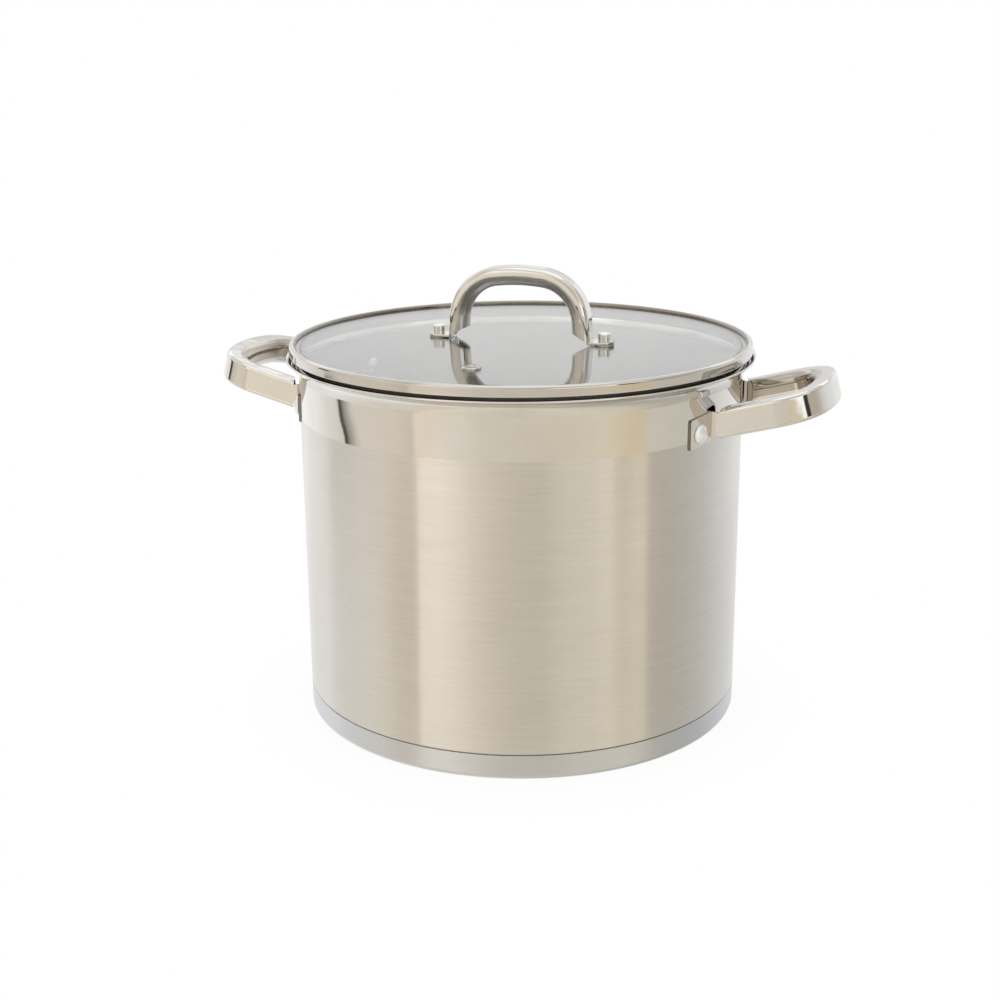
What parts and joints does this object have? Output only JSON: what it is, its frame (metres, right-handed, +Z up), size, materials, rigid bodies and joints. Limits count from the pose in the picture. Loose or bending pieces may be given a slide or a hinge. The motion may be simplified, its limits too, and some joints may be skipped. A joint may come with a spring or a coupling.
{
  "type": "stock pot",
  "caption": "Tall straight-sided steel stock pot with encapsulated base, outward pouring rim, riveted hollow loop handles and a flat glass lid with steel band, arch handle and steam vent.",
  "frame": {"origin": "centre of the base's underside", "axes": "+X towards the right side handle, with both side handles and the lid's handle along X; +Z up along the pot's axis; the steam vent is on the -Y side"},
  "size_m": [0.3444, 0.2532, 0.2436],
  "materials": {
    "satin_steel": "brushed round the wall, with a mirror-polished band under the rim",
    "base_steel": "fine satin",
    "core_aluminium": "as rolled",
    "polished_steel": "mirror-polished stainless steel",
    "rivet_steel": "bright satin",
    "tempered_glass": "clear, polished",
    "clear_silicone": "matt translucent silicone"
  },
  "bodies": {
    "pot": {"pot_body": "satin_steel", "base_core": "core_aluminium", "base_cap": "base_steel", "right_handle": "polished_steel", "left_handle": "polished_steel", "handle_rivets": "rivet_steel"},
    "lid": {"lid_glass": "tempered_glass", "lid_ring": "polished_steel", "lid_handle": "polished_steel", "lid_rivets": "polished_steel", "lid_seals": "clear_silicone", "lid_washers": "base_steel", "steam_vent": "polished_steel"}
  },
  "joints": [
    {"name": "lid_lift", "type": "slide", "parent": "pot", "child": "lid", "axis": [0, 0, 1], "range_m": [0, 0.2]}
  ]
}
